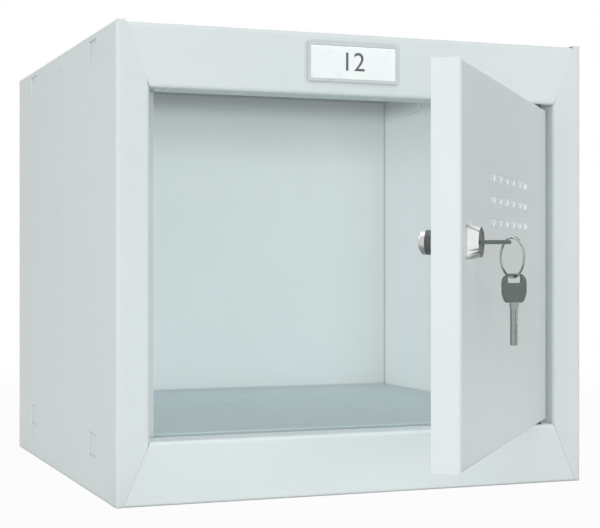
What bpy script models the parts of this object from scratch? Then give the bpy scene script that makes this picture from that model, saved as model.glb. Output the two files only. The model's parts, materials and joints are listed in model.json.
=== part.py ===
"""Cube locker of folded sheet steel with a vented door, a cam lock and two keys on a ring.

Metres, +Z up. The origin is the centre of the base, the front faces -Y and the door hangs
at the right. The door is modelled standing open, with the key in its lock.
"""
from math import atan2, cos, pi, radians, sin, sqrt, tan

import bmesh
import bpy
from mathutils import Vector

# Cabinet
body_width = 0.400
body_depth = 0.400
body_height = 0.3655
sheet = 0.001
fold_radius = 0.003
stile_width = 0.0262
stile_return = 0.025
stile_lip = 0.0093
sill_height = 0.0485
head_height = 0.0488
rail_return = 0.0295
rail_lip = 0.010
foot_mitre = 0.0051
foot_seam = 0.00015
top_mitre = 0.007
top_seam = 0.00001
roof_drop = 0.0012
hem_width = 0.007
hem_radius = 0.0015
weld_flange = 0.012
inner_radius = 0.0015
floor_height = 0.051
ceiling_drop = 0.0058
tray_flange = 0.014
tray_clearance = 0.0016

# Pressed pads and fixing holes of the side panels
pad_length = 0.027
pad_height = 0.020
pad_depth = 0.0012
pad_slope = 0.0009
front_pad_inset = 0.0782
rear_pad_inset = 0.076
top_pad_inset = 0.0145
foot_pad_inset = 0.0389
fixing_hole = 0.0045
top_hole_inset = 0.0143
foot_hole_inset = 0.0154
foot_hole_depth_share = 0.806

# Label plate
label_length = 0.0775
label_height = 0.031
label_border = 0.0023
label_thickness = 0.002
label_radius = 0.001
label_inset = 0.1528
label_drop = 0.0075
card_thickness = 0.0008

# Hinges, and the unused hinge holes of the other hand
pivot_inset = 0.0132
pivot_depth = 0.0075
bush_hole = 0.0078
pin_diameter = 0.005
pin_head_diameter = 0.009
pin_head_height = 0.0015
bush_flange_diameter = 0.0102
bush_flange_height = 0.0012
bush_length = 0.0045
pin_reach = 0.008
washer_diameter = 0.010
spare_hole = 0.0087
spare_hole_inset = 0.011
spare_hole_depth = 0.012

# Door
door_side_gap = 0.0036
door_foot_gap = 0.003
door_head_gap = 0.0036
door_depth = 0.0192
door_radius = 0.0025
door_lip = 0.010
door_open_angle = 50.65
vent_length = 0.017
vent_height = 0.0048
vent_radius = 0.002
vent_columns = 6
vent_rows = 3
vent_pitch_across = 0.026
vent_pitch_up = 0.0155
vent_middle_height = 0.2272

# Lock
lock_inset = 0.0242
lock_height = 0.1965
bezel_width = 0.022
bezel_edge = 0.0012
bezel_height = 0.0081
bezel_face = 0.0195
barrel_diameter = 0.016
barrel_length = 0.0272
plug_head_diameter = 0.015
plug_head_height = 0.002
plug_diameter = 0.0116
plug_recess = 0.0002
tail_width = 0.0065
nut_width = 0.022
nut_height = 0.004
cam_length = 0.038
cam_width = 0.016
cam_thickness = 0.0025
cam_washer_diameter = 0.014
cam_washer_thickness = 0.0006
cam_screw_diameter = 0.0035
cam_screw_head_diameter = 0.009
cam_screw_head_height = 0.001
cam_screw_reach = 0.005

# Keys and ring
key_head_length = 0.0183
key_head_width = 0.0181
key_head_foot_width = 0.0135
key_head_thickness = 0.0024
key_head_radius = 0.0058
key_foot_radius = 0.0025
key_head_rounding = 0.0005
key_web = 0.0013
key_slot_length = 0.0046
key_slot_width = 0.0104
key_slot_radius = 0.001
collar_width = 0.0062
collar_length = 0.0038
collar_taper = 0.0028
blade_length = 0.0230
blade_width = 0.0046
blade_thickness = 0.0019
blade_chamfer = 0.0006
blade_groove_width = 0.0014
blade_groove_depth = 0.0003
bitting_pitch = 0.0040
bitting_start = 0.0045
bitting_flat = 0.0015
bitting_depth = 0.0004
ring_diameter = 0.0268
ring_wire = 0.0015
ring_groove = 0.00025
ring_yaw_angle = -45.2
ring_hang_angle = 72.0
ring_corner_gap = 0.0003
spare_key_shift = 0.0014

# Working values
fit_gap = 0.0003
merge_distance = 0.00001
overrun = 0.002
fold_steps = 4
round_sides = 32
ring_sides = 40
bitting_shares = (0.5, 0.9, 0.35, 0.75, 0.6)

# Places worked out from the sizes above
half_width = body_width / 2
front = -body_depth / 2
back = body_depth / 2
inner_wall = half_width - sheet
opening_half = half_width - stile_width
roof_height = body_height - roof_drop
opening_top = roof_height - head_height
joint_depth = fold_radius + fit_gap
pivot_x = opening_half - pivot_inset
pivot_y = front + pivot_depth
door_width = 2 * (opening_half - door_side_gap)
door_foot = sill_height + door_foot_gap
door_top = opening_top - door_head_gap
hinge_edge = pivot_inset - door_side_gap
free_edge = hinge_edge - door_width
barrel_end = -barrel_length
plug_face = bezel_height - plug_recess
cam_back = barrel_end - fit_gap - cam_thickness
pin_radius = pin_diameter / 2
wire_radius = ring_wire / 2
ring_radius = ring_diameter / 2 - wire_radius
collar_top = key_web / 2 - key_head_length - fit_gap
blade_shoulder = collar_top - collar_length
blade_end = blade_shoulder - blade_length

parts = bpy.data.collections.new("cube_locker")
cutters = bpy.data.collections.new("cutters")


def clear_scene():
    for old in list(bpy.data.objects):
        bpy.data.objects.remove(old, do_unlink=True)
    bpy.context.scene.collection.children.link(parts)
    bpy.context.scene.collection.children.link(cutters)


def paint(thing, colour, roughness, metallic):
    """Give one piece its own plain finish."""
    finish = bpy.data.materials.new(thing.name + "_finish")
    finish.use_nodes = True
    shader = finish.node_tree.nodes["Principled BSDF"]
    shader.inputs["Base Color"].default_value = (*colour, 1)
    shader.inputs["Roughness"].default_value = roughness
    shader.inputs["Metallic"].default_value = metallic
    finish.diffuse_color = (*colour, 1)
    thing.data.materials.append(finish)


def paint_steel(thing, shade=0.66):
    paint(thing, (shade * 0.95, shade, shade * 0.985), 0.45, 0)


def paint_chrome(thing):
    paint(thing, (0.78, 0.79, 0.80), 0.12, 1)


def paint_zinc(thing):
    paint(thing, (0.55, 0.56, 0.56), 0.35, 1)


def paint_nylon(thing):
    paint(thing, (0.03, 0.03, 0.03), 0.5, 0)


def add(name, data, group):
    thing = bpy.data.objects.new(name, data)
    group.objects.link(thing)
    if group == cutters:
        thing.hide_render = True
        thing.display_type = "WIRE"
    return thing


def axis_frame(name, location, rotation=(0, 0, 0), parent=None):
    """An empty that stands on a joint's axis and carries what turns about it."""
    frame = bpy.data.objects.new(name, None)
    parts.objects.link(frame)
    frame.location = location
    frame.rotation_euler = rotation
    frame.parent = parent
    return frame


def block(name, low, high, group=None):
    low = Vector(low)
    high = Vector(high)
    mesh = bpy.data.meshes.new(name)
    shape = bmesh.new()
    bmesh.ops.create_cube(shape, size=1)
    bmesh.ops.scale(shape, vec=high - low, verts=shape.verts)
    bmesh.ops.translate(shape, vec=(low + high) / 2, verts=shape.verts)
    shape.to_mesh(mesh)
    shape.free()
    return add(name, mesh, group or parts)


def rod(name, radius, low, high, group=None):
    """A round bar along Z."""
    mesh = bpy.data.meshes.new(name)
    shape = bmesh.new()
    bmesh.ops.create_cone(shape, cap_ends=True, segments=round_sides,
                          radius1=radius, radius2=radius, depth=high - low)
    bmesh.ops.translate(shape, vec=(0, 0, (low + high) / 2), verts=shape.verts)
    shape.to_mesh(mesh)
    shape.free()
    mesh.shade_smooth()
    mesh.set_sharp_from_angle(angle=pi / 6)
    return add(name, mesh, group or parts)


def combine(target, other, operation):
    change = target.modifiers.new(other.name, "BOOLEAN")
    change.operation = operation
    change.solver = "EXACT"
    change.object = other


def cut(target, cutter):
    combine(target, cutter, "DIFFERENCE")


def thicken(thing):
    """Turn an outer surface into sheet, inwards."""
    skin = thing.modifiers.new("sheet", "SOLIDIFY")
    skin.thickness = sheet
    skin.offset = -1
    skin.use_even_offset = True


def rounded(corners, radii):
    """Points through the corners, each turned round its radius; a corner of radius 0 stays."""
    points = []
    corners = [Vector(corner) for corner in corners]
    for index, (corner, radius) in enumerate(zip(corners, radii)):
        if radius == 0:
            points.append(corner)
            continue
        back_way = (corners[index - 1] - corner).normalized()
        on_way = (corners[(index + 1) % len(corners)] - corner).normalized()
        half_angle = back_way.angle(on_way) / 2
        centre = corner + (back_way + on_way).normalized() * radius / sin(half_angle)
        start = corner + back_way * radius / tan(half_angle) - centre
        end = corner + on_way * radius / tan(half_angle) - centre
        sweep = start.angle(end)
        for step in range(fold_steps + 1):
            turn = sweep * step / fold_steps
            points.append(centre + (start * sin(sweep - turn) + end * sin(turn)) / sin(sweep))
    return points


def ribbon(name, corners, radii, low, high, along):
    """Folded sheet: its outer surface follows the corners, with the inside on the left.

    Along Z the corners are (X, Y), and along X they are (Y, Z).
    """
    line = rounded(corners, radii)
    if along == "Z":
        places = [(point.x, point.y, low) for point in line]
        draw = Vector((0, 0, high - low))
    else:
        places = [(low, point.x, point.y) for point in line]
        draw = Vector((high - low, 0, 0))
    mesh = bpy.data.meshes.new(name)
    shape = bmesh.new()
    verts = [shape.verts.new(place) for place in places]
    edges = [shape.edges.new(pair) for pair in zip(verts, verts[1:])]
    drawn = bmesh.ops.extrude_edge_only(shape, edges=edges)["geom"]
    moved = [item for item in drawn if isinstance(item, bmesh.types.BMVert)]
    bmesh.ops.translate(shape, vec=draw, verts=moved)
    bmesh.ops.recalc_face_normals(shape, faces=shape.faces)
    outward = (verts[1].co - verts[0].co).cross(draw)
    if edges[0].link_faces[0].normal.dot(outward) < 0:
        bmesh.ops.reverse_faces(shape, faces=shape.faces)
    shape.to_mesh(mesh)
    shape.free()
    thing = add(name, mesh, parts)
    thicken(thing)
    return thing


def pan(name, low, high, mouth_way, radius, lip=0):
    """Tray of folded sheet, open towards mouth_way, with an optional lip round its mouth."""
    thing = block(name, low, high)
    shape = bmesh.new()
    shape.from_mesh(thing.data)
    way = Vector(mouth_way)
    mouth = max(shape.faces, key=lambda face: face.normal.dot(way))
    floor = min(shape.faces, key=lambda face: face.normal.dot(way))
    if lip:
        bmesh.ops.inset_individual(shape, faces=[mouth], thickness=lip)
    bmesh.ops.delete(shape, geom=[mouth], context="FACES")
    bmesh.ops.bevel(shape, geom=list(floor.edges), offset=radius, segments=fold_steps, profile=0.5,
                    affect="EDGES")
    shape.to_mesh(thing.data)
    shape.free()
    thicken(thing)
    return thing


def turned(name, profile, steps=round_sides, ring=False):
    """A turned piece about Z from (radius, height) points, down its outer side."""
    mesh = bpy.data.meshes.new(name)
    pairs = [(index, index + 1) for index in range(len(profile) - 1)]
    if ring:
        pairs.append((len(profile) - 1, 0))
    mesh.from_pydata([(radius, 0, height) for radius, height in profile], pairs, [])
    thing = add(name, mesh, parts)
    screw = thing.modifiers.new("turn", "SCREW")
    screw.steps = steps
    screw.render_steps = steps
    screw.use_merge_vertices = True
    screw.merge_threshold = merge_distance
    return thing


def collar_ring(name, inner, outer, low, high):
    return turned(name, [(inner, high), (outer, high), (outer, low), (inner, low)], ring=True)


def circle(radius, sides=round_sides):
    turns = [2 * pi * index / sides for index in range(sides)]
    return [Vector((radius * cos(turn), radius * sin(turn))) for turn in turns]


def plate(name, outlines, low, high, rounding=0):
    """A flat piece between two heights; outlines after the first are its holes."""
    curve = bpy.data.curves.new(name, "CURVE")
    curve.dimensions = "2D"
    curve.fill_mode = "BOTH"
    curve.extrude = (high - low) / 2 - rounding
    curve.bevel_depth = rounding
    curve.bevel_resolution = 1
    curve.offset = -rounding
    for outline in outlines:
        spline = curve.splines.new("POLY")
        spline.points.add(len(outline) - 1)
        for point, place in zip(spline.points, outline):
            point.co = (place.x, place.y, 0, 1)
        spline.use_cyclic_u = True
    thing = add(name, curve, parts)
    thing.location.z = (low + high) / 2
    return thing


def rectangle(width, height, radius, middle=(0, 0)):
    right = width / 2
    top = height / 2
    corners = [(-right, -top), (right, -top), (right, top), (-right, top)]
    return [point + Vector(middle) for point in rounded(corners, [radius] * 4)]


def mitre_block(name, foot, head, start):
    """A block on the left of the line from foot to head, as seen from the front."""
    foot = Vector((foot[0], front, foot[1]))
    run = Vector((head[0], front, head[1])) - foot
    reach = 2 * stile_width
    cutter = block(name, (-reach, -overrun, start), (run.length + reach, joint_depth, reach), cutters)
    cutter.rotation_euler.y = -atan2(run.z, run.x)
    cutter.location = foot
    return cutter


def mitre_lines(side):
    """The two mitre lines of one side, each from the opening's corner to the cabinet's corner."""
    opening = side * opening_half
    foot = ((opening, sill_height), (side * (half_width - foot_mitre), 0))
    top = ((opening, opening_top), (side * (half_width - top_mitre), body_height))
    return foot, top


def drafted_block(name, side, outer_x, inner_x, middle_y, middle_z, margin):
    """A pad's block, smaller at its inner face."""
    half_length = pad_length / 2 + margin
    half_height = pad_height / 2 + margin
    low_x, high_x = sorted((side * outer_x, side * inner_x))
    low = (low_x, middle_y - half_length, middle_z - half_height)
    high = (high_x, middle_y + half_length, middle_z + half_height)
    thing = block(name, low, high, cutters)
    for vert in thing.data.vertices:
        if abs(vert.co.x) < (outer_x + inner_x) / 2:
            vert.co.y += pad_slope if vert.co.y < middle_y else -pad_slope
            vert.co.z += pad_slope if vert.co.z < middle_z else -pad_slope
    return thing


def press_pads(panel, side):
    floor_x = half_width - pad_depth
    for row, middle_z in (("top", body_height - top_pad_inset), ("foot", foot_pad_inset)):
        for place, middle_y in (("front", front + front_pad_inset), ("rear", back - rear_pad_inset)):
            name = f"{panel.name}_{row}_{place}_pad"
            boss = drafted_block(name + "_boss", side, inner_wall + sheet / 2, floor_x - sheet,
                                 middle_y, middle_z, sheet)
            pocket = drafted_block(name + "_pocket", side, half_width + overrun, floor_x,
                                   middle_y, middle_z, 0)
            combine(panel, boss, "UNION")
            cut(panel, pocket)


def drill_fixing_holes(panel, side):
    upper = (0, body_height - top_hole_inset)
    lower = (front + foot_hole_depth_share * body_depth, foot_hole_inset)
    for row, (y, z) in (("top", upper), ("foot", lower)):
        drill = rod(f"{panel.name}_{row}_hole", fixing_hole / 2, -overrun, sheet + overrun, cutters)
        drill.rotation_euler.y = -side * pi / 2
        drill.location = (side * half_width, y, z)
        cut(panel, drill)


def hem_envelope(name):
    """A block whose top outer edges carry the hem's radius."""
    low = (-half_width, front - overrun, -overrun)
    high = (half_width, back + overrun, body_height)
    thing = block(name, low, high, cutters)
    shape = bmesh.new()
    shape.from_mesh(thing.data)
    top_edges = [edge for edge in shape.edges
                 if all(vert.co.z > 0 for vert in edge.verts)
                 and edge.verts[0].co.x * edge.verts[1].co.x > 0]
    bmesh.ops.bevel(shape, geom=top_edges, offset=hem_radius, segments=fold_steps, profile=0.5,
                    affect="EDGES")
    shape.to_mesh(thing.data)
    shape.free()
    return thing


def trim_lip(panel, side, end, low_z, high_z):
    """End the lip of the stile's return at a rail."""
    root = opening_half - fit_gap / 2
    low_x, high_x = sorted((side * root, side * (opening_half - stile_lip - overrun)))
    low = (low_x, front + fold_radius, low_z)
    high = (high_x, front + stile_return + overrun, high_z)
    cut(panel, block(f"{panel.name}_{end}_lip_end", low, high, cutters))


def side_panel(name, side):
    """Side wall with its front stile, return and lip, its rear flange and the hem along its top."""
    stile_edge = side * opening_half
    wall = side * half_width
    return_back = front + stile_return
    corners = [(wall - side * weld_flange, back), (wall, back), (wall, front), (stile_edge, front),
               (stile_edge, return_back), (stile_edge - side * stile_lip, return_back)]
    radii = [0, inner_radius, fold_radius, fold_radius, inner_radius, 0]
    if side > 0:
        corners.reverse()
        radii.reverse()
    panel = ribbon(name, corners, radii, 0, body_height, "Z")
    clear_x = inner_wall - fit_gap / 2
    reach = opening_half - sheet - overrun
    for end, low_z, high_z in (("foot", -overrun, sheet + fit_gap),
                               ("top", roof_height - sheet - fit_gap, body_height + overrun)):
        low_x, high_x = sorted((side * clear_x, side * reach))
        low = (low_x, front + joint_depth, low_z)
        high = (high_x, back + overrun, high_z)
        cut(panel, block(f"{name}_{end}_trim", low, high, cutters))
    trim_lip(panel, side, "foot", -overrun, sill_height + fit_gap)
    trim_lip(panel, side, "top", opening_top - fit_gap, body_height + overrun)
    low_x, high_x = sorted((wall - side * sheet / 2, wall - side * hem_width))
    low = (low_x, front + sheet / 2, body_height - sheet)
    high = (high_x, back, body_height)
    combine(panel, block(name + "_hem", low, high, cutters), "UNION")
    for end, (inner, outer) in zip(("foot", "top"), mitre_lines(side)):
        clockwise = (side < 0) == (end == "foot")
        run = (inner, outer) if clockwise else (outer, inner)
        cut(panel, mitre_block(f"{name}_{end}_mitre", run[0], run[1], 0))
    combine(panel, hem_envelope(name + "_envelope"), "INTERSECT")
    press_pads(panel, side)
    drill_fixing_holes(panel, side)
    paint_steel(panel)


def drill_bush_holes(rail, height):
    """The hinge hole at the right, and the unused one of the other hand at the left."""
    holes = (("right", pivot_x, pivot_y, bush_hole),
             ("left", spare_hole_inset - opening_half, front + spare_hole_depth, spare_hole))
    for hand, x, y, diameter in holes:
        drill = rod(f"{rail.name}_{hand}_bush_hole", diameter / 2, height - 2 * sheet,
                    height + 2 * sheet, cutters)
        drill.location = (x, y, 0)
        cut(rail, drill)


def trim_rail(panel, at_foot, opening_z, gap):
    """Cut a rail's mitred ends, and shorten its return to the opening."""
    way = -1 if at_foot else 1
    low_z, high_z = sorted((opening_z + way * (rail_lip + overrun), opening_z - way * overrun))
    for hand, side in (("left", -1), ("right", 1)):
        foot_line, top_line = mitre_lines(side)
        inner, outer = foot_line if at_foot else top_line
        clockwise = (side < 0) == at_foot
        run = (outer, inner) if clockwise else (inner, outer)
        cut(panel, mitre_block(f"{panel.name}_{hand}_mitre", run[0], run[1], -gap))
        low_x, high_x = sorted((side * (opening_half - fit_gap), side * (half_width + overrun)))
        low = (low_x, front + fold_radius, low_z)
        high = (high_x, front + rail_return + overrun, high_z)
        cut(panel, block(f"{panel.name}_{hand}_return_end", low, high, cutters))


def weld_flanges(panel, low_z, high_z):
    """Narrow flanges along both sides of a flat sheet, where it is spot welded to the walls."""
    outer = inner_wall - fit_gap
    for hand, side in (("left", -1), ("right", 1)):
        low_x, high_x = sorted((side * outer, side * (outer - sheet)))
        low = (low_x, front + stile_return + fold_radius, low_z)
        high = (high_x, back - weld_flange, high_z)
        combine(panel, block(f"{panel.name}_{hand}_flange", low, high, cutters), "UNION")


def base_pan():
    rear = back - sheet - fit_gap
    corners = [(front + rail_return, sill_height - rail_lip), (front + rail_return, sill_height),
               (front, sill_height), (front, 0), (rear, 0), (rear, weld_flange)]
    radii = [0, inner_radius, fold_radius, inner_radius, inner_radius, 0]
    reach = inner_wall - fit_gap
    panel = ribbon("base_pan", corners, radii, -reach, reach, "X")
    trim_rail(panel, True, sill_height, foot_seam)
    weld_flanges(panel, sheet / 2, weld_flange)
    drill_bush_holes(panel, sill_height)
    paint_steel(panel)


def roof_panel():
    rear = back - sheet - fit_gap
    return_back = front + rail_return
    corners = [(rear, roof_height - weld_flange), (rear, roof_height), (front, roof_height),
               (front, opening_top), (return_back, opening_top), (return_back, opening_top + rail_lip)]
    radii = [0, inner_radius, fold_radius, fold_radius, inner_radius, 0]
    reach = inner_wall - fit_gap
    panel = ribbon("roof_panel", corners, radii, -reach, reach, "X")
    trim_rail(panel, False, opening_top, top_seam)
    drill_bush_holes(panel, opening_top)
    paint_steel(panel)


def back_panel():
    """Flat back, seated inside the rear flanges of the walls and of the base and roof."""
    rear = back - 2 * (sheet + fit_gap)
    reach = inner_wall - fit_gap
    panel = block("back_panel", (-reach, rear - sheet, sheet + fit_gap),
                  (reach, rear, roof_height - sheet - fit_gap))
    paint_steel(panel)


def inner_trays():
    """Floor and ceiling of the compartment, open away from it."""
    reach = inner_wall - tray_clearance
    rear = back - 3 * (sheet + fit_gap)
    tray_front = front + rail_return + fit_gap
    floor_low = (-reach, tray_front, floor_height - tray_flange)
    floor_tray = pan("floor_panel", floor_low, (reach, rear, floor_height), (0, 0, -1), inner_radius)
    paint_steel(floor_tray, 0.5)
    ceiling_low = (-reach, tray_front, roof_height - ceiling_drop)
    ceiling_high = (reach, rear, roof_height - sheet - fit_gap)
    ceiling_tray = pan("ceiling_panel", ceiling_low, ceiling_high, (0, 0, 1), inner_radius)
    paint_steel(ceiling_tray)


def label():
    middle = (-half_width + label_inset + label_length / 2, roof_height - label_drop - label_height / 2)
    hole = (label_length - 2 * label_border, label_height - 2 * label_border)
    outer = rectangle(label_length, label_height, label_radius)
    frame = plate("label_frame", [outer, rectangle(*hole, label_radius / 2)], 0, label_thickness)
    card_size = (hole[0] - 2 * fit_gap, hole[1] - 2 * fit_gap)
    card = plate("label_card", [rectangle(*card_size, label_radius / 2)], 0, card_thickness)
    for piece in (frame, card):
        piece.rotation_euler.x = pi / 2
        piece.location = (middle[0], front - fit_gap - piece.data.extrude, middle[1])
    paint(frame, (0.42, 0.44, 0.45), 0.4, 0)
    paint(card, (0.85, 0.86, 0.86), 0.5, 0)


def hinge_bush(name, face_z, way):
    """Flanged bush through a rail's return; way points from the rail into the opening."""
    seat = face_z + way * fit_gap
    cap = seat + way * bush_flange_height
    end = face_z - way * bush_length
    bore = pin_radius + fit_gap
    sleeve = bush_hole / 2 - fit_gap
    flange = bush_flange_diameter / 2
    profile = [(bore, cap), (flange, cap), (flange, seat), (sleeve, seat), (sleeve, end), (bore, end)]
    if way < 0:
        profile = [profile[0]] + profile[:0:-1]
    bush = turned(name, profile, ring=True)
    bush.location = (pivot_x, pivot_y, 0)
    paint_nylon(bush)
    return cap


def door_frame():
    """The empty on the hinge axis: the door hangs from it in its closed position's axes."""
    return axis_frame("door_axis", (pivot_x, pivot_y, 0), (0, 0, radians(door_open_angle)))


def vent_cutter(parent):
    mesh = bpy.data.meshes.new("door_vents")
    shape = bmesh.new()
    for row in range(vent_rows):
        for column in range(vent_columns):
            slot = bmesh.ops.create_cube(shape, size=1)["verts"]
            bmesh.ops.scale(shape, vec=(vent_length, 4 * sheet, vent_height), verts=slot)
            x = (free_edge + hinge_edge) / 2 + (column - (vent_columns - 1) / 2) * vent_pitch_across
            z = vent_middle_height + (row - (vent_rows - 1) / 2) * vent_pitch_up
            bmesh.ops.translate(shape, vec=(x, -pivot_depth, z), verts=slot)
    corners = [edge for edge in shape.edges
               if abs(edge.verts[0].co.y - edge.verts[1].co.y) > sheet]
    bmesh.ops.bevel(shape, geom=corners, offset=vent_radius, segments=fold_steps // 2, profile=0.5,
                    affect="EDGES")
    shape.to_mesh(mesh)
    shape.free()
    cutter = add("door_vents", mesh, cutters)
    cutter.parent = parent
    return cutter


def door_skin(parent):
    low = (free_edge, -pivot_depth, door_foot)
    high = (hinge_edge, door_depth - pivot_depth, door_top)
    skin = pan("door_skin", low, high, (0, 1, 0), door_radius, door_lip)
    skin.parent = parent
    cut(skin, vent_cutter(parent))
    lock_hole = rod("door_lock_hole", barrel_diameter / 2 + fit_gap, -2 * sheet, 2 * sheet, cutters)
    lock_hole.rotation_euler.x = pi / 2
    lock_hole.location = (free_edge + lock_inset, -pivot_depth, lock_height)
    pin_hole = rod("door_pin_holes", pin_radius + fit_gap, door_foot - overrun, door_top + overrun, cutters)
    for cutter in (lock_hole, pin_hole):
        cutter.parent = parent
        cut(skin, cutter)
    paint_steel(skin)


def hinge_pin(name, parent, outer_z, way, washer_end):
    """Headed pin through a return of the door; way points out of the door."""
    inner_z = outer_z - way * (sheet + fit_gap)
    head_z = inner_z - way * pin_head_height
    tip = washer_end + way * pin_reach
    head = pin_head_diameter / 2
    profile = [(0, head_z), (head, head_z), (head, inner_z), (pin_radius, inner_z), (pin_radius, tip),
               (0, tip)]
    if way > 0:
        profile.reverse()
    pin = turned(name, profile)
    pin.parent = parent
    paint_zinc(pin)


def hinge_washer(name, parent, door_z, bush_cap):
    """Spacer that fills the gap between the door's return and the bush."""
    low, high = sorted((door_z, bush_cap))
    washer = collar_ring(name, pin_radius + fit_gap, washer_diameter / 2, low + fit_gap, high - fit_gap)
    washer.parent = parent
    paint_nylon(washer)


def bezel(name):
    """Square base lofted to a round face."""
    mesh = bpy.data.meshes.new(name)
    shape = bmesh.new()
    per_side = round_sides // 4
    half = bezel_width / 2
    base = []
    face = []
    for index in range(round_sides):
        side_turn = index // per_side * pi / 2
        share = index % per_side / per_side
        out_way = Vector((cos(side_turn), sin(side_turn)))
        base.append(half * out_way + half * (2 * share - 1) * out_way.orthogonal())
        turn = side_turn + (share - 1 / 2) * pi / 2
        face.append(Vector((cos(turn), sin(turn))) * bezel_face / 2)
    levels = ((base, fit_gap), (base, bezel_edge), (face, bezel_height))
    rings = [[shape.verts.new((x, y, z)) for x, y in outline] for outline, z in levels]
    for lower, upper in zip(rings, rings[1:]):
        for index in range(round_sides):
            following = (index + 1) % round_sides
            shape.faces.new((lower[index], lower[following], upper[following], upper[index]))
    shape.faces.new(reversed(rings[0]))
    shape.faces.new(rings[-1])
    shape.to_mesh(mesh)
    shape.free()
    return add(name, mesh, parts)


def lock_housing(parent):
    housing = bezel("lock_housing")
    housing.parent = parent
    barrel = rod("lock_barrel", barrel_diameter / 2, barrel_end, bezel_edge, cutters)
    bore_top = bezel_height + overrun
    bore = rod("lock_bore", plug_diameter / 2 + fit_gap, barrel_end - overrun, bore_top, cutters)
    seat_z = plug_face - plug_head_height - fit_gap
    seat = rod("lock_seat", plug_head_diameter / 2 + fit_gap, seat_z, bore_top, cutters)
    for other, operation in ((barrel, "UNION"), (bore, "DIFFERENCE"), (seat, "DIFFERENCE")):
        other.parent = parent
        combine(housing, other, operation)
    paint_chrome(housing)


def lock_nut(parent):
    bore = circle(barrel_diameter / 2 + fit_gap)
    hexagon = circle(nut_width / sqrt(3), 6)
    seat = -sheet - fit_gap
    nut = plate("lock_nut", [hexagon, bore], seat - nut_height, seat)
    nut.parent = parent
    paint_zinc(nut)


def keyway(name, width, depth):
    """A slot from the plug's face, as wide as the key is there."""
    half_wide = width / 2 + fit_gap
    half_thick = blade_thickness / 2 + fit_gap
    low = (-half_wide, -half_thick, plug_face - depth - fit_gap)
    return block(name, low, (half_wide, half_thick, plug_face + overrun), cutters)


def lock_plug(parent):
    """Turned plug with its keyway, a square tail for the cam and a threaded hole for the cam's screw."""
    shoulder = plug_face - plug_head_height
    head = plug_head_diameter / 2
    core = plug_diameter / 2
    profile = [(0, plug_face), (head, plug_face), (head, shoulder), (core, shoulder), (core, barrel_end),
               (0, barrel_end)]
    plug = turned("lock_plug", profile)
    plug.parent = parent
    half_tail = tail_width / 2
    tail_low = (-half_tail, -half_tail, cam_back)
    tail = block("plug_tail", tail_low, (half_tail, half_tail, barrel_end + overrun), cutters)
    collar_seat = keyway("plug_collar_seat", collar_width, collar_length)
    blade_slot = keyway("plug_keyway", blade_width, collar_length + blade_length)
    thread = rod("plug_thread", cam_screw_diameter / 2 + fit_gap, cam_back - overrun,
                 cam_back + cam_screw_reach + fit_gap, cutters)
    tail.parent = parent
    combine(plug, tail, "UNION")
    for cutter in (collar_seat, blade_slot, thread):
        cutter.parent = parent
        cut(plug, cutter)
    paint(plug, (0.50, 0.51, 0.50), 0.25, 1)


def lock_cam(parent):
    """Flat cam with round ends; it points at the hinges while the lock is open."""
    half = cam_width / 2
    outline = []
    for middle, start in ((0, pi / 2), (cam_length - half, -pi / 2)):
        for index in range(round_sides // 2 + 1):
            turn = start + 2 * pi * index / round_sides
            outline.append(Vector((middle + half * cos(turn), half * sin(turn))))
    hole = rectangle(tail_width + 2 * fit_gap, tail_width + 2 * fit_gap, 0)
    cam = plate("lock_cam", [outline, hole], cam_back, cam_back + cam_thickness)
    cam.parent = parent
    paint_zinc(cam)


def cam_fasteners(parent):
    washer_top = cam_back - fit_gap
    washer_foot = washer_top - cam_washer_thickness
    shank = cam_screw_diameter / 2
    washer = collar_ring("cam_washer", shank + fit_gap, cam_washer_diameter / 2, washer_foot, washer_top)
    seat = washer_foot - fit_gap
    foot = seat - cam_screw_head_height
    tip = cam_back + cam_screw_reach
    head = cam_screw_head_diameter / 2
    profile = [(0, tip), (shank, tip), (shank, seat), (head, seat), (head, foot), (0, foot)]
    screw = turned("cam_screw", profile)
    for piece in (washer, screw):
        piece.parent = parent
        paint_zinc(piece)


def key_head_outline():
    """Head with its web's middle at zero, wide at the ring end and drawn in to the blade."""
    top = key_web / 2
    foot = top - key_head_length
    waist = (top + 2 * foot) / 3
    half = key_head_width / 2
    half_foot = key_head_foot_width / 2
    corners = [(-half_foot, foot), (half_foot, foot), (half, waist), (half, top), (-half, top),
               (-half, waist)]
    return rounded(corners, [key_foot_radius] * 2 + [key_head_radius] * 4)


def key_blade_outline():
    """Tapered collar, blade with its cuts along one edge, and a chamfered tip."""
    half_collar = collar_width / 2
    half = blade_width / 2
    half_flat = bitting_flat / 2
    taper_start = blade_shoulder + collar_taper
    points = [(-half_collar, collar_top), (-half_collar, taper_start), (-half, blade_shoulder),
              (-half, blade_end + blade_chamfer), (-half + blade_chamfer, blade_end),
              (half - blade_chamfer, blade_end), (half, blade_end + blade_chamfer)]
    for index in reversed(range(len(bitting_shares))):
        place = blade_shoulder - bitting_start - index * bitting_pitch
        depth = bitting_shares[index] * bitting_depth
        points += [(half, place - depth - half_flat), (half - depth, place - half_flat),
                   (half - depth, place + half_flat), (half, place + depth + half_flat)]
    points += [(half, blade_shoulder), (half_collar, taper_start), (half_collar, collar_top)]
    return [Vector(point) for point in points]


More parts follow.
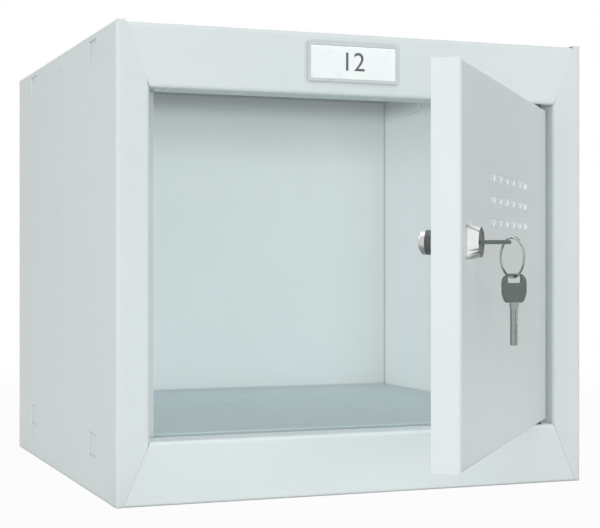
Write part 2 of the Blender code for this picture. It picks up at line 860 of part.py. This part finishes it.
def key(prefix, parent, web_offset, shift=0):
    """One key: its head's web lies web_offset beyond the parent, and its blade points back."""
    slot_middle = -(key_web + key_slot_length) / 2
    slot = rectangle(key_slot_width, key_slot_length, key_slot_radius, (0, slot_middle))
    half_head = key_head_thickness / 2
    half_blade = blade_thickness / 2
    head = plate(prefix + "key_head", [key_head_outline(), slot], -half_head, half_head, key_head_rounding)
    blade_curve = plate(prefix + "key_blade_blank", [key_blade_outline()], -half_blade, half_blade)
    blade = grooved_blade(prefix + "key_blade", blade_curve)
    for piece in (head, blade):
        piece.rotation_euler.x = pi / 2
        piece.location = (shift, 0, web_offset)
        piece.parent = parent
    paint(head, (0.03, 0.033, 0.032), 0.45, 0)
    paint(blade, (0.42, 0.44, 0.43), 0.3, 1)


def grooved_blade(name, blank):
    """Make the blank a mesh and mill its two long grooves."""
    bpy.context.view_layer.update()
    seen = blank.evaluated_get(bpy.context.evaluated_depsgraph_get())
    mesh = bpy.data.meshes.new_from_object(seen)
    mesh.name = name
    shape = bmesh.new()
    shape.from_mesh(mesh)
    bmesh.ops.remove_doubles(shape, verts=shape.verts, dist=merge_distance)
    shape.to_mesh(mesh)
    shape.free()
    blade = add(name, mesh, parts)
    blade.matrix_world = blank.matrix_world
    bpy.data.objects.remove(blank, do_unlink=True)
    half = blade_thickness / 2
    for face, way in (("upper", 1), ("lower", -1)):
        low_z, high_z = sorted((way * (half - blade_groove_depth), way * (half + overrun)))
        groove = block(f"{name}_{face}_groove", (-blade_groove_width / 2, blade_end - overrun, low_z),
                       (blade_groove_width / 2, blade_shoulder, high_z), cutters)
        groove.parent = blade
        cut(blade, groove)
    return blade


def ring_section():
    """Octagon about the wire's centre, with a groove where the two turns of the ring meet."""
    points = []
    for index in range(8):
        turn = pi / 8 - index * pi / 4
        points.append((ring_radius + wire_radius * cos(turn), wire_radius * sin(turn)))
        if index in (0, 4):
            way = 1 if index == 0 else -1
            flat = wire_radius * cos(pi / 8) - ring_groove
            points.append((ring_radius + way * flat, 0))
    return points


def ring_and_spare_key(key_axis):
    """The ring hangs from the web of the key in the lock, and the spare key from the ring."""
    half_web = key_web / 2 / cos(radians(ring_yaw_angle))
    corner = sqrt(half_web ** 2 + (key_head_thickness / 2) ** 2)
    drop = ring_radius - wire_radius - corner - ring_corner_gap
    below = -drop * sin(radians(ring_hang_angle))
    beyond = drop * cos(radians(ring_hang_angle))
    ring_axis = axis_frame("key_ring_axis", (0, 0, 0), (0, radians(ring_yaw_angle), 0), key_axis)
    ring = turned("key_ring", ring_section(), ring_sides, ring=True)
    ring.parent = ring_axis
    ring.rotation_euler.y = pi / 2
    ring.location = (0, below, beyond)
    paint_zinc(ring)
    spare_axis = axis_frame("spare_key_axis", (0, below - ring_radius, beyond), (-pi / 2, 0, 0), ring_axis)
    key("spare_", spare_axis, wire_radius + fit_gap + key_web / 2, spare_key_shift)


def cabinet():
    side_panel("left_side_panel", -1)
    side_panel("right_side_panel", 1)
    base_pan()
    roof_panel()
    back_panel()
    inner_trays()
    label()


def door_and_hinges():
    foot_cap = hinge_bush("hinge_bush_bottom", sill_height, 1)
    top_cap = hinge_bush("hinge_bush_top", opening_top, -1)
    door = door_frame()
    door_skin(door)
    hinge_pin("hinge_pin_bottom", door, door_foot, -1, foot_cap)
    hinge_pin("hinge_pin_top", door, door_top, 1, top_cap)
    hinge_washer("hinge_washer_bottom", door, door_foot, foot_cap)
    hinge_washer("hinge_washer_top", door, door_top, top_cap)
    return door


def lock_and_keys(door):
    lock_place = (free_edge + lock_inset, -pivot_depth, lock_height)
    lock_axis = axis_frame("lock_axis", lock_place, (pi / 2, 0, 0), door)
    lock_housing(lock_axis)
    lock_nut(lock_axis)
    lock_plug(lock_axis)
    lock_cam(lock_axis)
    cam_fasteners(lock_axis)
    web_height = plug_face - collar_top
    key_axis = axis_frame("key_axis", (0, 0, web_height), (0, 0, 0), lock_axis)
    key("", key_axis, 0)
    ring_and_spare_key(key_axis)


clear_scene()
cabinet()
lock_and_keys(door_and_hinges())
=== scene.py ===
"""Looks of the cube locker: paint, metal, plastic and card finishes, the split ring, the number
on the name plate, and a plain white studio seen from the front left."""
import json
from math import atan2, cos, pi, radians, sin, sqrt

import bmesh
import bpy
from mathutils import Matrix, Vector


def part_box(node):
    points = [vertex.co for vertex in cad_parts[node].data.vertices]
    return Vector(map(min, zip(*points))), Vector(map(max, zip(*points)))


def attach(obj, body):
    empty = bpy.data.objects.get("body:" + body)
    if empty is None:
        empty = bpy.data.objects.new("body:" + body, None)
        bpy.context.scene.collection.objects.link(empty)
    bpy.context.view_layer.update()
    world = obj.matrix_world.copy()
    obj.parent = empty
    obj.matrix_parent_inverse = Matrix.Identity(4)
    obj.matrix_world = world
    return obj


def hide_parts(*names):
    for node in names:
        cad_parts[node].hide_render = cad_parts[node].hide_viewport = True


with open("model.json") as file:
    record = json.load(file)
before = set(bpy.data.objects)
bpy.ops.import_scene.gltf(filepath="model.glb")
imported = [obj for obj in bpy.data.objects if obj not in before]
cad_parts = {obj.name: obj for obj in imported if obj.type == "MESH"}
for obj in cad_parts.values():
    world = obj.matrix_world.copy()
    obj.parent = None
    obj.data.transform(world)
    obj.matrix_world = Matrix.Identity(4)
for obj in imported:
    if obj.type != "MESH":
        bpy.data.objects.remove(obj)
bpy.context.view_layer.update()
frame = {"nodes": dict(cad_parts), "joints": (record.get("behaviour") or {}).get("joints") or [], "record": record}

# Colours, as linear red, green and blue
body_grey = (0.72, 0.77, 0.772)
# Painted shade: the inside of the back wall gets a darker copy of the body paint
back_wall_shaded_grey = (0.695, 0.742, 0.744)
# Painted light: the inside of the right wall gets a lighter copy of the body paint
right_wall_lit_grey = (0.755, 0.785, 0.79)
# Painted shade: the ceiling gets a darker copy of the body paint
ceiling_shaded_grey = (0.47, 0.51, 0.51)
floor_grey = (0.44, 0.52, 0.535)
frame_grey = (0.58, 0.62, 0.62)
card_white = (0.90, 0.925, 0.92)
digit_grey = (0.10, 0.11, 0.12)
chrome_white = (0.80, 0.82, 0.82)
thread_grey = (0.17, 0.18, 0.18)
zinc_grey = (0.60, 0.62, 0.62)
plug_grey = (0.62, 0.66, 0.65)
ring_grey = (0.46, 0.48, 0.47)
nylon_black = (0.05, 0.052, 0.053)
head_grey = (0.092, 0.108, 0.102)
nickel_grey = (0.27, 0.30, 0.29)
studio_grey = (0.55, 0.55, 0.55)
white = (1, 1, 1)

# Ways that the lock and the ring lie, from their joints
up = Vector((0, 0, 1))
ways = {joint["name"]: Vector(joint["axis"]) for joint in frame["joints"]}
lock_way = ways["lock_turn"]
ring_across = -ways["ring_swing"]
ring_outward = ways["spare_key_swing"]

# Soft shadows of the paint: reach in metres and how dark each gets in a closed corner. With the
# tilt, surfaces overhead count for more
shadow_samples = 3
shadow_tilt = 0.9
crease_reach, crease_depth = 0.003, 0.5
corner_reach, corner_depth, stile_corner_depth = 0.07, 0.26, 0.55
ceiling_shadow_start, ceiling_shadow_reach = 0.003, 0.027

# Faces of the walls that look into the compartment: the way they look, their colour, and the depth
# of the painted shadow in their corners and under the ceiling. Their colour is the body paint with
# painted shade on the back wall and painted light on the right wall
inner_walls = {
    "back_panel": ((0, -1, 0), back_wall_shaded_grey, 0.34, 0.42),
    "left_side_panel": ((1, 0, 0), body_grey, corner_depth, 0.5),
    "right_side_panel": ((-1, 0, 0), right_wall_lit_grey, 0.05, 0.5),
}
stile_reach = 0.06

# A face looks some way where the cosine of the angle between the two is over this
facing_cosine = 0.5

# Bezel of the lock: a facet, and half a streak of painted dark reflection, as shares of the turn round
# it, how much of the chrome a streak covers in its middle, and how bright it is beside the chrome
facet_share, half_dark_reflection_share = 0.25, 0.022
dark_reflection_depth, dark_reflection_shade = 0.62, 0.12

# Thread of the lock's barrel, in metres
thread_pitch = 0.001

# Split ring of flattened wire, in metres: its outer diameter, the wire and the gap between its turns.
# The wire's shares draw in its slanting corners and flatten its broad sides. The ring's share is the
# part of the way on which its turns change places
ring_diameter = 0.0268
wire_width, wire_height, wire_gap = 0.0015, 0.00072, 0.00004
wire_edge_share, wire_flat_share = 0.82, 1.25
ring_start = radians(35)
ring_turns, ring_steps, wire_sides = 2, 192, 12
ring_change_share = 0.12

# Edges between faces that lie further apart than this stay sharp in the shading of new pieces
smooth_angle = radians(35)

# Number on the name plate, in metres
plate_text = "12"
text_size, text_depth = 0.021, 0.00002

# Camera, solved from the straight edges of the cabinet
camera_place = (-0.464895, -1.268662, 0.183690)
camera_turn = radians(-20.753)
camera_lens, camera_sensor = 88.0, 36
camera_shift = (0.01349, -0.00279)
camera_near, camera_far = 0.05, 200

# Lamps: azimuth and height in degrees, width and height of the lamp in metres, level on a surface
# that faces it, tint, whether it casts shadows and whether metal and gloss show it
lamp_distance = 3.0
lamp_aim = Vector((0, 0, 0.18))
green, blue, warm = (0.96, 1, 0.985), (0.98, 1, 1.04), (0.975, 1, 0.965)
lamps = {
    "front_strip": (-21, 5, 3.0, 0.4, 0.30, white, True, False),
    "front_fill": (-10, 5, 1.0, 1.0, 0.16, blue, False, False),
    "left_fill": (-70, 5, 1.0, 1.0, 0.38, green, False, False),
    "right_fill": (50, 15, 1.0, 1.0, 0.25, warm, False, True),
    "overhead_fill": (-21, 80, 1.0, 1.0, 0.35, blue, False, True),
    "right_lamp": (120, 20, 1.5, 1.5, 0.20, white, True, False),
    "back_lamp": (160, 25, 2.0, 2.0, 0.45, white, True, False),
}

# Dark cards that only metal and gloss show, round the lock: azimuth and height in degrees, width and
# height of the card and its distance in metres, and how bright it looks
cards = {
    "right_card": (129, 0, 1.5, 1.0, 1.5, 0.20),
    "low_card": (0, -90, 0.5, 0.5, 0.19, 0.36),
}

# Room and floor: their own light, and the floor's shadow, which fades out between two radii in metres
room_level = 0.05
floor_glow = 0.07
floor_radius, floor_sides = 60, 64
shadow_share = 0.06
shadow_near, shadow_far = 0.6, 1.6


# Colour tools

def opaque(colour):
    return (*colour, 1)


def times(colour, share):
    """The colour, darker or lighter by a share, and at most white."""
    return tuple(min(1, part * share) for part in colour)


# Node tools

def fill(tree, sockets, terms):
    """Each socket gets its number or colour, or a link from its term where that is a socket."""
    for socket, term in zip(sockets, terms):
        if isinstance(term, bpy.types.NodeSocket):
            tree.links.new(term, socket)
        else:
            socket.default_value = term


def calculate(tree, operation, *terms):
    node = tree.nodes.new("ShaderNodeMath")
    node.operation = operation
    fill(tree, node.inputs, terms)
    return node.outputs[0]


def calculate_vector(tree, operation, *terms):
    node = tree.nodes.new("ShaderNodeVectorMath")
    node.operation = operation
    fill(tree, node.inputs, terms)
    return node.outputs["Vector"]


def map_range(tree, value, start, end, low, high, kind="LINEAR"):
    """The value, mapped so that start to end becomes low to high."""
    node = tree.nodes.new("ShaderNodeMapRange")
    node.interpolation_type = kind
    fill(tree, node.inputs, (value, start, end, low, high))
    return node.outputs["Result"]


def mix(tree, value, first, second):
    """The first colour, or as much of the second as the value says."""
    node = tree.nodes.new("ShaderNodeMix")
    node.data_type = "RGBA"
    fill(tree, [node.inputs[name] for name in ("Factor", "A", "B")], (value, first, second))
    return node.outputs["Result"]


def dimmed(tree, colour, light):
    """The colour times the light."""
    node = tree.nodes.new("ShaderNodeVectorMath")
    node.operation = "SCALE"
    fill(tree, (node.inputs["Vector"], node.inputs["Scale"]), (colour, light))
    return node.outputs["Vector"]


def object_place(tree):
    return tree.nodes.new("ShaderNodeTexCoord").outputs["Object"]


def turned_upright(tree, place, along):
    """The place, turned so that along becomes Z."""
    node = tree.nodes.new("ShaderNodeMapping")
    node.inputs["Rotation"].default_value = along.rotation_difference(up).to_euler()
    tree.links.new(place, node.inputs["Vector"])
    return node.outputs["Vector"]


def place_along(tree, along=up, stretch=(1, 1, 1)):
    """Object coordinates turned so that along is Z, then scaled by stretch."""
    node = tree.nodes.new("ShaderNodeMapping")
    node.inputs["Scale"].default_value = stretch
    tree.links.new(turned_upright(tree, object_place(tree), along), node.inputs["Vector"])
    return node.outputs["Vector"]


def noise(tree, place, scale, detail=2.0):
    node = tree.nodes.new("ShaderNodeTexNoise")
    node.inputs["Scale"].default_value = scale
    node.inputs["Detail"].default_value = detail
    tree.links.new(place, node.inputs["Vector"])
    return node.outputs["Fac"]


def spread(tree, value, low=0, high=1):
    """The middle of a noise's range, mapped from low to high."""
    middle_start, middle_end = 0.3, 0.7
    return map_range(tree, value, middle_start, middle_end, low, high)


def shades(tree, colour, value, depth):
    """The colour, a little darker and lighter by the value."""
    darker, lighter = times(colour, 1 - depth), times(colour, 1 + depth)
    return mix(tree, value, opaque(darker), opaque(lighter))


def corner_shadow(tree, colour, reach, depth, tilt=0.0):
    """The colour, darker by depth where other surfaces lie within reach, with the tilt above all
    where they lie over it."""
    surface = tree.nodes.new("ShaderNodeNewGeometry")
    tilted = calculate_vector(tree, "ADD", surface.outputs["Normal"], (0, 0, tilt))
    nearness = tree.nodes.new("ShaderNodeAmbientOcclusion")
    nearness.samples = shadow_samples
    nearness.inputs["Distance"].default_value = reach
    tree.links.new(calculate_vector(tree, "NORMALIZE", tilted), nearness.inputs["Normal"])
    # What a tilted view from an upright wall sees past the wall itself
    open_share = (1 + 1 / sqrt(1 + tilt * tilt)) / 2
    light = map_range(tree, nearness.outputs["AO"], 0, open_share, 1 - depth, 1)
    return dimmed(tree, colour, light)


def ceiling_shadow(tree, colour, depth):
    """The colour, darker by depth close under the ceiling."""
    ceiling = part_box("ceiling_panel")[0].z
    apart = tree.nodes.new("ShaderNodeSeparateXYZ")
    tree.links.new(object_place(tree), apart.inputs[0])
    low, high = ceiling - ceiling_shadow_reach, ceiling - ceiling_shadow_start
    light = map_range(tree, apart.outputs["Z"], low, high, 1, 1 - depth, "SMOOTHSTEP")
    return dimmed(tree, colour, light)


def bump(tree, shader, heights):
    """Bumps of the given (height, depth in metres), one on another."""
    normal = None
    for height, depth in heights:
        node = tree.nodes.new("ShaderNodeBump")
        node.inputs["Distance"].default_value = depth
        tree.links.new(height, node.inputs["Height"])
        if normal:
            tree.links.new(normal, node.inputs["Normal"])
        normal = node.outputs["Normal"]
    tree.links.new(normal, shader.inputs["Normal"])


# Finishes

def new_material(name, colour, roughness, metallic=0.0):
    """A Principled material, its tree and its shader."""
    material = bpy.data.materials.new(name)
    material.use_nodes = True
    material.diffuse_color = opaque(colour)
    shader = material.node_tree.nodes["Principled BSDF"]
    shader.inputs["Base Color"].default_value = opaque(colour)
    shader.inputs["Roughness"].default_value = roughness
    shader.inputs["Metallic"].default_value = metallic
    return material, material.node_tree, shader


def finish_with(tree, shader, shade, gloss, heights):
    """The shader's colour, roughness and bumps."""
    tree.links.new(shade, shader.inputs["Base Color"])
    tree.links.new(gloss, shader.inputs["Roughness"])
    bump(tree, shader, heights)


def powder_coat(name, colour, corner, under=0):
    """Semi-matt powder coat: orange peel, fine grain and faint clouds in shade and gloss."""
    material, tree, shader = new_material(name, colour, roughness=0.42)
    place = place_along(tree)
    clouds = noise(tree, place, scale=9, detail=3)
    grain = noise(tree, place, scale=1500)
    orange_peel = noise(tree, place, scale=420, detail=1)
    haze = noise(tree, place, scale=55, detail=3)
    darker = times(colour, 0.93)
    shade = shades(tree, colour, spread(tree, clouds), depth=0.012)
    shade = mix(tree, spread(tree, grain, high=0.25), shade, opaque(darker))
    if corner:
        shade = corner_shadow(tree, shade, crease_reach, crease_depth)
        shade = corner_shadow(tree, shade, corner_reach, corner, shadow_tilt)
    if under:
        shade = ceiling_shadow(tree, shade, under)
    gloss = spread(tree, haze, low=0.38, high=0.47)
    finish_with(tree, shader, shade, gloss, ((orange_peel, 0.000025), (grain, 0.000012)))
    shader.inputs["Specular IOR Level"].default_value = 0.3
    return material


def polished_metal(name, colour, roughness):
    """Plated metal: upright hairline scratches and faint clouds in its polish."""
    material, tree, shader = new_material(name, colour, roughness, metallic=1.0)
    scratches = noise(tree, place_along(tree, stretch=(2600, 2600, 60)), scale=1, detail=3)
    clouds = noise(tree, place_along(tree), scale=160, detail=3)
    shade = shades(tree, colour, spread(tree, clouds), depth=0.04)
    gloss = spread(tree, scratches, low=roughness * 0.75, high=roughness * 1.35)
    finish_with(tree, shader, shade, gloss, ((scratches, 0.000003), (clouds, 0.000004)))
    return material


def painted_facet_reflections(tree, along):
    """How much painted dark reflection lies on each place round along: the most on the lines between facets."""
    low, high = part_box("lock_plug")
    centred = calculate_vector(tree, "SUBTRACT", object_place(tree), (low + high) / 2)
    around = tree.nodes.new("ShaderNodeTexGradient")
    around.gradient_type = "RADIAL"
    tree.links.new(turned_upright(tree, centred, along), around.inputs["Vector"])
    upright = along.rotation_difference(up) @ up
    half_facet = facet_share / 2
    first_edge = (atan2(upright.y, upright.x) / (2 * pi) + 0.5 + half_facet) % facet_share
    from_edge = calculate(tree, "SUBTRACT", around.outputs["Fac"], first_edge)
    nearest_edge = calculate(tree, "PINGPONG", from_edge, half_facet)
    return map_range(tree, nearest_edge, 0, half_dark_reflection_share, dark_reflection_depth, 0, "SMOOTHSTEP")


def faceted_chrome(name, colour, along):
    """Chrome with painted dark reflections along the edges between its four facets."""
    material, tree, shader = new_material(name, colour, roughness=0.09, metallic=1.0)
    clouds = noise(tree, place_along(tree), scale=160, detail=3)
    waves = noise(tree, place_along(tree), scale=90, detail=1)
    shade = shades(tree, colour, spread(tree, clouds), depth=0.06)
    # Painted reflection: dark streaks on the lines between the facets
    shade = mix(tree, painted_facet_reflections(tree, along), shade, opaque(times(colour, dark_reflection_shade)))
    gloss = spread(tree, clouds, low=0.06, high=0.14)
    finish_with(tree, shader, shade, gloss, ((waves, 0.0004), (clouds, 0.000004)))
    return material


def screw_thread(name, colour, along, pitch):
    """Dull plated metal with the ridges of a thread across one direction, bumped and with painted light and shade
    on them.
    """
    material, tree, shader = new_material(name, colour, roughness=0.35, metallic=1.0)
    ridges = tree.nodes.new("ShaderNodeTexWave")
    ridges.bands_direction = "Z"
    bands_per_metre = 20 / (2 * pi)
    ridges.inputs["Scale"].default_value = 1 / (bands_per_metre * pitch)
    tree.links.new(place_along(tree, along), ridges.inputs["Vector"])
    ridge = ridges.outputs["Fac"]
    worn = noise(tree, place_along(tree), scale=300, detail=3)
    # Painted light and shade: lighter on the ridges of the thread, darker between them
    shade = shades(tree, colour, ridge, depth=0.3)
    gloss = spread(tree, worn, low=0.28, high=0.45)
    finish_with(tree, shader, shade, gloss, ((ridge, 0.0003), (worn, 0.00002)))
    return material


def zinc_plate(name, colour):
    """Bright zinc: cool and warm clouds and a soft grain."""
    material, tree, shader = new_material(name, colour, roughness=0.3, metallic=1.0)
    place = place_along(tree)
    clouds = noise(tree, place, scale=220, detail=4)
    tarnish = noise(tree, place, scale=90)
    grain = noise(tree, place, scale=1800)
    red, green_part, blue_part = colour
    warm_zinc = (red * 1.05, green_part, blue_part * 0.92)
    shade = shades(tree, colour, spread(tree, clouds), depth=0.06)
    shade = mix(tree, spread(tree, tarnish, high=0.5), shade, opaque(warm_zinc))
    gloss = spread(tree, clouds, low=0.24, high=0.38)
    finish_with(tree, shader, shade, gloss, ((grain, 0.00001),))
    return material


def moulded_plastic(name, colour, roughness):
    """Moulded plastic with the fine spark-eroded texture of its mould."""
    material, tree, shader = new_material(name, colour, roughness)
    place = place_along(tree)
    texture = noise(tree, place, scale=2600, detail=3)
    clouds = noise(tree, place, scale=120, detail=3)
    shade = shades(tree, colour, spread(tree, clouds), depth=0.05)
    gloss = spread(tree, texture, low=roughness - 0.06, high=roughness + 0.08)
    finish_with(tree, shader, shade, gloss, ((texture, 0.00002), (clouds, 0.00001)))
    return material


def printed_card(name, colour):
    """Smooth card under a clear film: fibres in its colour and a slight ripple in its gloss."""
    material, tree, shader = new_material(name, colour, roughness=0.3)
    across = Vector((1, 0, 0))
    fibres = noise(tree, place_along(tree, across, (1800, 1800, 300)), scale=1, detail=4)
    ripple = noise(tree, place_along(tree), scale=60)
    shade = shades(tree, colour, spread(tree, fibres), depth=0.01)
    gloss = spread(tree, ripple, low=0.24, high=0.34)
    finish_with(tree, shader, shade, gloss, ((fibres, 0.000003), (ripple, 0.00002)))
    return material


# Dressing of the CAD nodes

def paint_faces(name, paint, chosen):
    """The chosen faces of a node get a paint of their own."""
    mesh = frame["nodes"][name].data
    mesh.materials.append(paint)
    for face in mesh.polygons:
        if chosen(face):
            face.material_index = len(mesh.materials) - 1


def paint_walls():
    """The faces that look into the compartment get the paint of the inner walls, with its painted light
    and shade. The stiles and their returns, in front of them, get the deeper painted shade of a narrow gap."""
    for name, (inward, *settings) in inner_walls.items():
        paint = powder_coat(name + "_inside", *settings)
        paint_faces(name, paint, lambda face: face.normal.dot(Vector(inward)) > facing_cosine)
    # Painted shade: the stiles and their returns get deeper painted corner shadows
    stile_painted_shade = powder_coat("stile_painted_shade", body_grey, stile_corner_depth)
    for name in ("left_side_panel", "right_side_panel"):
        corners = frame["nodes"][name].data.vertices
        stile_back = min(corner.co.y for corner in corners) + stile_reach
        paint_faces(name, stile_painted_shade,
                    lambda face: max(corners[index].co.y for index in face.vertices) < stile_back)


def thread_the_barrel():
    """The barrel's sides, behind the foremost corner of its nut, get the finish of a thread."""
    thread = screw_thread("barrel_thread", thread_grey, lock_way, thread_pitch)
    nut = frame["nodes"]["lock_nut"].data
    nut_front = max(corner.co.dot(lock_way) for corner in nut.vertices)
    paint_faces("lock_housing", thread,
                lambda face: abs(face.normal.dot(lock_way)) < facing_cosine
                and face.center.dot(lock_way) < nut_front)


def dress_nodes():
    """Each CAD node gets the finish of its material slot, and some faces a finish of their own."""
    finishes = {
        "body_paint": powder_coat("body_paint", body_grey, corner_depth),
        "floor_paint": powder_coat("floor_paint", floor_grey, corner_depth),
        "label_frame": moulded_plastic("label_frame", frame_grey, roughness=0.4),
        "label_card": printed_card("label_card", card_white),
        "chrome": faceted_chrome("chrome", chrome_white, lock_way),
        "zinc": zinc_plate("zinc", zinc_grey),
        "plug_chrome": polished_metal("plug_chrome", plug_grey, roughness=0.2),
        "nylon": moulded_plastic("nylon", nylon_black, roughness=0.5),
        "key_head": moulded_plastic("key_head", head_grey, roughness=0.5),
        "key_blade": polished_metal("key_blade", nickel_grey, roughness=0.28),
    }
    own_finishes = {
        "door_skin": powder_coat("door_paint", body_grey, corner=0),
        # The ceiling's darker copy of the body paint is painted shade
        "ceiling_panel": powder_coat("ceiling_painted_shade", ceiling_shaded_grey, corner_depth),
    }
    for part in frame["record"]["subparts"]:
        name = part["node"]
        materials = frame["nodes"][name].data.materials
        materials.clear()
        materials.append(own_finishes.get(name, finishes[part["material_slot"]]))
    paint_walls()
    thread_the_barrel()


# Pieces

def add_mesh(name, shape, material):
    """A smoothly shaded object from a bmesh."""
    mesh = bpy.data.meshes.new(name)
    bmesh.ops.recalc_face_normals(shape, faces=shape.faces)
    shape.to_mesh(mesh)
    shape.free()
    mesh.materials.append(material)
    mesh.shade_smooth()
    mesh.set_sharp_from_angle(angle=smooth_angle)
    piece = bpy.data.objects.new(name, mesh)
    bpy.context.scene.collection.objects.link(piece)
    return piece


def wire_section(centre, way):
    """Points round the ring's flattened wire, at a share of the way along it."""
    angle = ring_start + 2 * pi * ring_turns * way
    spoke = ring_outward * cos(angle) + up * sin(angle)
    rise = min(1, max(0, (way - 0.5) / ring_change_share + 0.5))
    rise = rise * rise * (3 - 2 * rise)
    offset = (rise - 0.5) * (wire_height + wire_gap)
    quarter = wire_sides // 4
    points = []
    for side in range(wire_sides):
        turn = 2 * pi * side / wire_sides
        corner_share = wire_edge_share if side % quarter else 1.0
        inward = wire_width / 2 * (1 + corner_share * cos(turn))
        aside = wire_height / 2 * min(1, max(-1, wire_flat_share * sin(turn)))
        points.append(centre + spoke * (ring_diameter / 2 - inward) + ring_across * (offset + aside))
    return points


def split_ring(material):
    """Two turns of flattened wire that lie on each other, with a step where they change places."""
    low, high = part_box("key_ring")
    shape = bmesh.new()
    sections = [
        [shape.verts.new(point) for point in wire_section((low + high) / 2, index / ring_steps)]
        for index in range(ring_steps + 1)
    ]
    for first, second in zip(sections, sections[1:]):
        for side in range(wire_sides):
            after = (side + 1) % wire_sides
            shape.faces.new((first[side], first[after], second[after], second[side]))
    shape.faces.new(sections[0])
    shape.faces.new(sections[-1])
    ring = add_mesh("split_ring", shape, material)
    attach(ring, "ring")
    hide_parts("key_ring")


def plate_number():
    """A plain number on the card of the name plate."""
    low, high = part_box("label_card")
    text = bpy.data.curves.new("plate_number", "FONT")
    text.body = plate_text
    text.size = text_size
    text.align_x, text.align_y = "CENTER", "CENTER"
    text.extrude = text_depth
    number = bpy.data.objects.new("plate_number", text)
    bpy.context.scene.collection.objects.link(number)
    number.location = ((low.x + high.x) / 2, low.y - text_depth, (low.z + high.z) / 2)
    number.rotation_euler = (pi / 2, 0, 0)
    text.materials.append(printed_card("number_ink", digit_grey))
    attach(number, "cabinet")


# Studio

def camera():
    """The camera at the photograph's place, level and turned to the right."""
    data = bpy.data.cameras.new("camera")
    data.lens = camera_lens
    data.sensor_width = camera_sensor
    data.shift_x, data.shift_y = camera_shift
    data.clip_start, data.clip_end = camera_near, camera_far
    made = bpy.data.objects.new("camera", data)
    made.location = camera_place
    made.rotation_euler = (pi / 2, 0, camera_turn)
    bpy.context.scene.collection.objects.link(made)
    bpy.context.scene.camera = made


def seen_directly(tree):
    """1 for rays from the camera, a mirror or glass, and 0 for those that light other things."""
    path = tree.nodes.new("ShaderNodeLightPath")
    either = path.outputs["Is Camera Ray"]
    for name in ("Is Glossy Ray", "Is Transmission Ray"):
        either = calculate(tree, "MAXIMUM", either, path.outputs[name])
    return either


def mix_shaders(tree, share, first, second, surface):
    """The first shader, or as much of the second as the share says, on the surface."""
    node = tree.nodes.new("ShaderNodeMixShader")
    fill(tree, node.inputs, (share, first, second))
    tree.links.new(node.outputs[0], surface)


def glow(tree, level):
    """A shader that gives off white light of its own."""
    node = tree.nodes.new("ShaderNodeEmission")
    node.inputs["Strength"].default_value = level
    return node.outputs[0]


def stage_material(name):
    """A material without a shader, its tree and the surface that takes one."""
    material = bpy.data.materials.new(name)
    material.use_nodes = True
    tree = material.node_tree
    tree.nodes.remove(tree.nodes["Principled BSDF"])
    return material, tree, tree.nodes["Material Output"].inputs["Surface"]


def white_room():
    """Even light from all round; the camera sees plain white."""
    world = bpy.data.worlds.new("white_room")
    bpy.context.scene.world = world
    world.use_nodes = True
    tree = world.node_tree
    light = tree.nodes["Background"]
    fill(tree, light.inputs, (opaque(white), room_level))
    seen = tree.nodes.new("ShaderNodeBackground")
    seen.inputs["Color"].default_value = opaque(white)
    surface = tree.nodes["World Output"].inputs["Surface"]
    mix_shaders(tree, seen_directly(tree), light.outputs[0], seen.outputs[0], surface)


def white_floor():
    """Pale floor that shows white and keeps a soft shadow close to the locker."""
    shape = bmesh.new()
    bmesh.ops.create_circle(shape, cap_ends=True, segments=floor_sides, radius=floor_radius)
    material, tree, surface = stage_material("studio_floor")
    lit = tree.nodes.new("ShaderNodeBsdfDiffuse")
    lit.inputs["Color"].default_value = opaque(studio_grey)
    lit_and_glowing = tree.nodes.new("ShaderNodeAddShader")
    fill(tree, lit_and_glowing.inputs, (lit.outputs[0], glow(tree, floor_glow)))
    from_middle = tree.nodes.new("ShaderNodeVectorMath")
    from_middle.operation = "LENGTH"
    tree.links.new(object_place(tree), from_middle.inputs[0])
    whiteness = map_range(tree, from_middle.outputs["Value"], shadow_near, shadow_far,
                          1 - shadow_share, 1, "SMOOTHSTEP")
    share = calculate(tree, "MULTIPLY", whiteness, seen_directly(tree))
    mix_shaders(tree, share, lit_and_glowing.outputs[0], glow(tree, 1), surface)
    floor = add_mesh("studio_floor", shape, material)


def face_towards(thing, middle, azimuth, height, distance):
    """Puts a lamp or card round the middle, facing it."""
    side, rise = radians(azimuth), radians(height)
    outward = Vector((sin(side) * cos(rise), -cos(side) * cos(rise), sin(rise)))
    thing.location = middle + outward * distance
    thing.rotation_mode = "QUATERNION"
    thing.rotation_quaternion = (-outward).to_track_quat("-Z", "Y")
    bpy.context.scene.collection.objects.link(thing)


def lamp(name, azimuth, height, width, tall, level, tint, shadow, shine):
    """A soft lamp that faces the locker's middle."""
    data = bpy.data.lights.new(name, "AREA")
    data.shape = "RECTANGLE"
    data.size = width
    data.size_y = tall
    data.color = tint
    data.use_shadow = shadow
    data.energy = level * (pi * lamp_distance) ** 2
    made = bpy.data.objects.new(name, data)
    made.visible_glossy = shine
    face_towards(made, lamp_aim, azimuth, height, lamp_distance)


def card(name, azimuth, height, width, tall, distance, level):
    """A dark card that faces the lock and shows in metal and gloss alone."""
    material, tree, surface = stage_material(name)
    tree.links.new(glow(tree, level), surface)
    mesh = bpy.data.meshes.new(name)
    signs = ((-1, -1), (1, -1), (1, 1), (-1, 1))
    corners = [(side * width / 2, rise * tall / 2, 0) for side, rise in signs]
    mesh.from_pydata(corners, [], [(0, 1, 2, 3)])
    mesh.materials.append(material)
    made = bpy.data.objects.new(name, mesh)
    for sight in ("visible_camera", "visible_diffuse", "visible_transmission", "visible_shadow"):
        setattr(made, sight, False)
    low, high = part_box("lock_plug")
    face_towards(made, (low + high) / 2, azimuth, height, distance)


def studio():
    camera()
    white_room()
    white_floor()
    for name, settings in lamps.items():
        lamp(name, *settings)
    for name, settings in cards.items():
        card(name, *settings)
    bpy.context.scene.view_settings.view_transform = "Standard"


dress_nodes()
split_ring(polished_metal("ring_steel", ring_grey, roughness=0.14))
plate_number()
studio()
